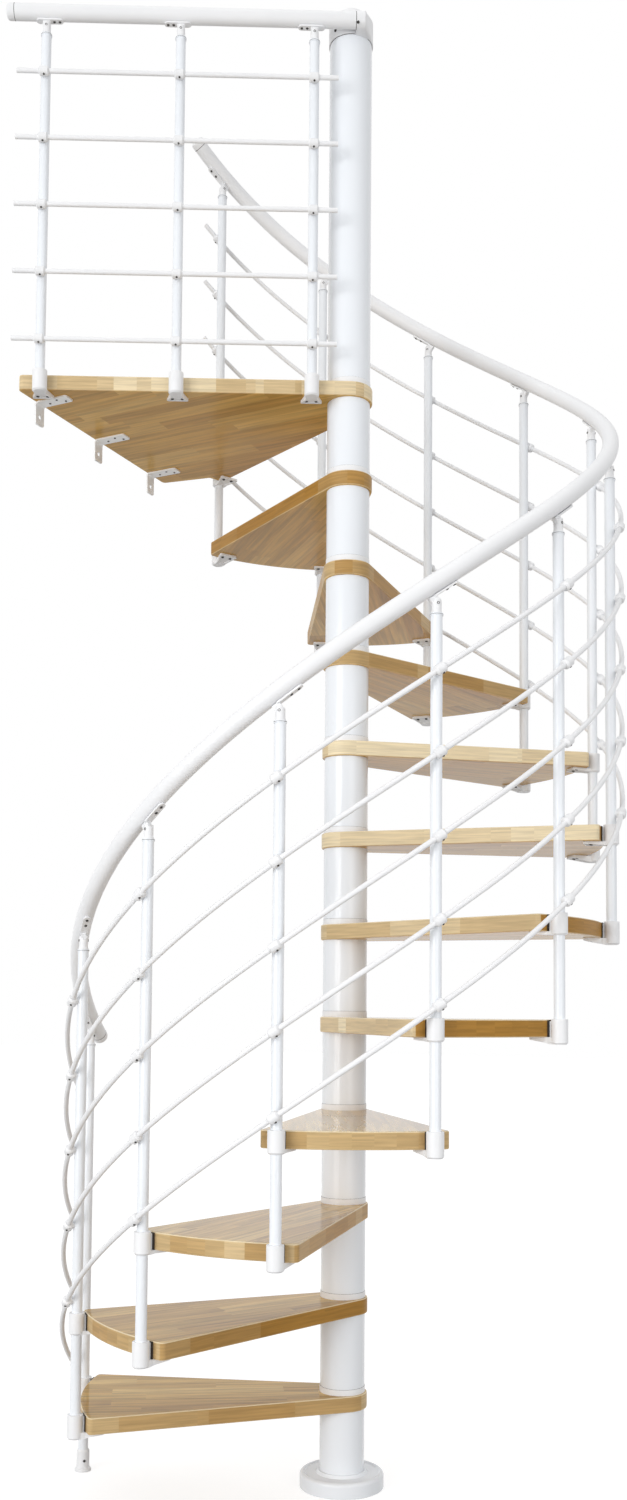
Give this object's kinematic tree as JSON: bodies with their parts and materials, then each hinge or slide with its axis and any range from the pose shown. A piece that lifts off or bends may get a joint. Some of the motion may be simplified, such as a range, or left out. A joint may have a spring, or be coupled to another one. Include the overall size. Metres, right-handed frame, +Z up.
{
  "type": "spiral staircase",
  "caption": "Round column staircase with wooden wedge treads, a landing, and an outer balustrade of posts, a helical handrail and thin bars.",
  "frame": {"origin": "on the floor at the column's axis, at the centre of the floor flange's underside", "axes": "+Z up along the column; -X square to the landing's fixing edge, towards the upper floor"},
  "size_m": [1.4401, 1.3841, 3.765],
  "materials": {
    "white_steel": "satin powder coat",
    "white_plastic": "smooth",
    "laminated_wood": "clear lacquer on laminated staves",
    "zinc_steel": "zinc plated"
  },
  "bodies": {
    "root": {"floor_flange": "white_steel", "core_pole": "zinc_steel", "spacer_tubes": "white_steel", "levelling_rings": "white_plastic", "tread_01": "laminated_wood", "tread_02": "laminated_wood", "tread_03": "laminated_wood", "tread_04": "laminated_wood", "tread_05": "laminated_wood", "tread_06": "laminated_wood", "tread_07": "laminated_wood", "tread_08": "laminated_wood", "tread_09": "laminated_wood", "tread_10": "laminated_wood", "tread_11": "laminated_wood", "landing": "laminated_wood", "newel_tube": "white_steel", "newel_cap": "white_plastic", "floor_foot": "white_plastic", "baluster_00": "white_steel", "baluster_01": "white_steel", "baluster_02": "white_steel", "baluster_03": "white_steel", "baluster_04": "white_steel", "baluster_05": "white_steel", "baluster_06": "white_steel", "baluster_07": "white_steel", "baluster_08": "white_steel", "baluster_09": "white_steel", "baluster_10": "white_steel", "baluster_11": "white_steel", "nosing_brackets": "white_plastic", "rear_brackets": "white_plastic", "rail_saddles": "white_plastic", "handrail": "white_plastic", "rail_end_caps": "white_plastic", "infill_bar_1": "white_plastic", "infill_bar_2": "white_plastic", "infill_bar_3": "white_plastic", "infill_bar_4": "white_plastic", "infill_bar_5": "white_plastic", "bar_clips": "white_plastic", "landing_brackets": "white_plastic", "landing_balusters": "white_steel", "landing_handrail": "white_plastic", "landing_bars": "white_plastic", "floor_edge_angles": "zinc_steel"}
  },
  "joints": []
}
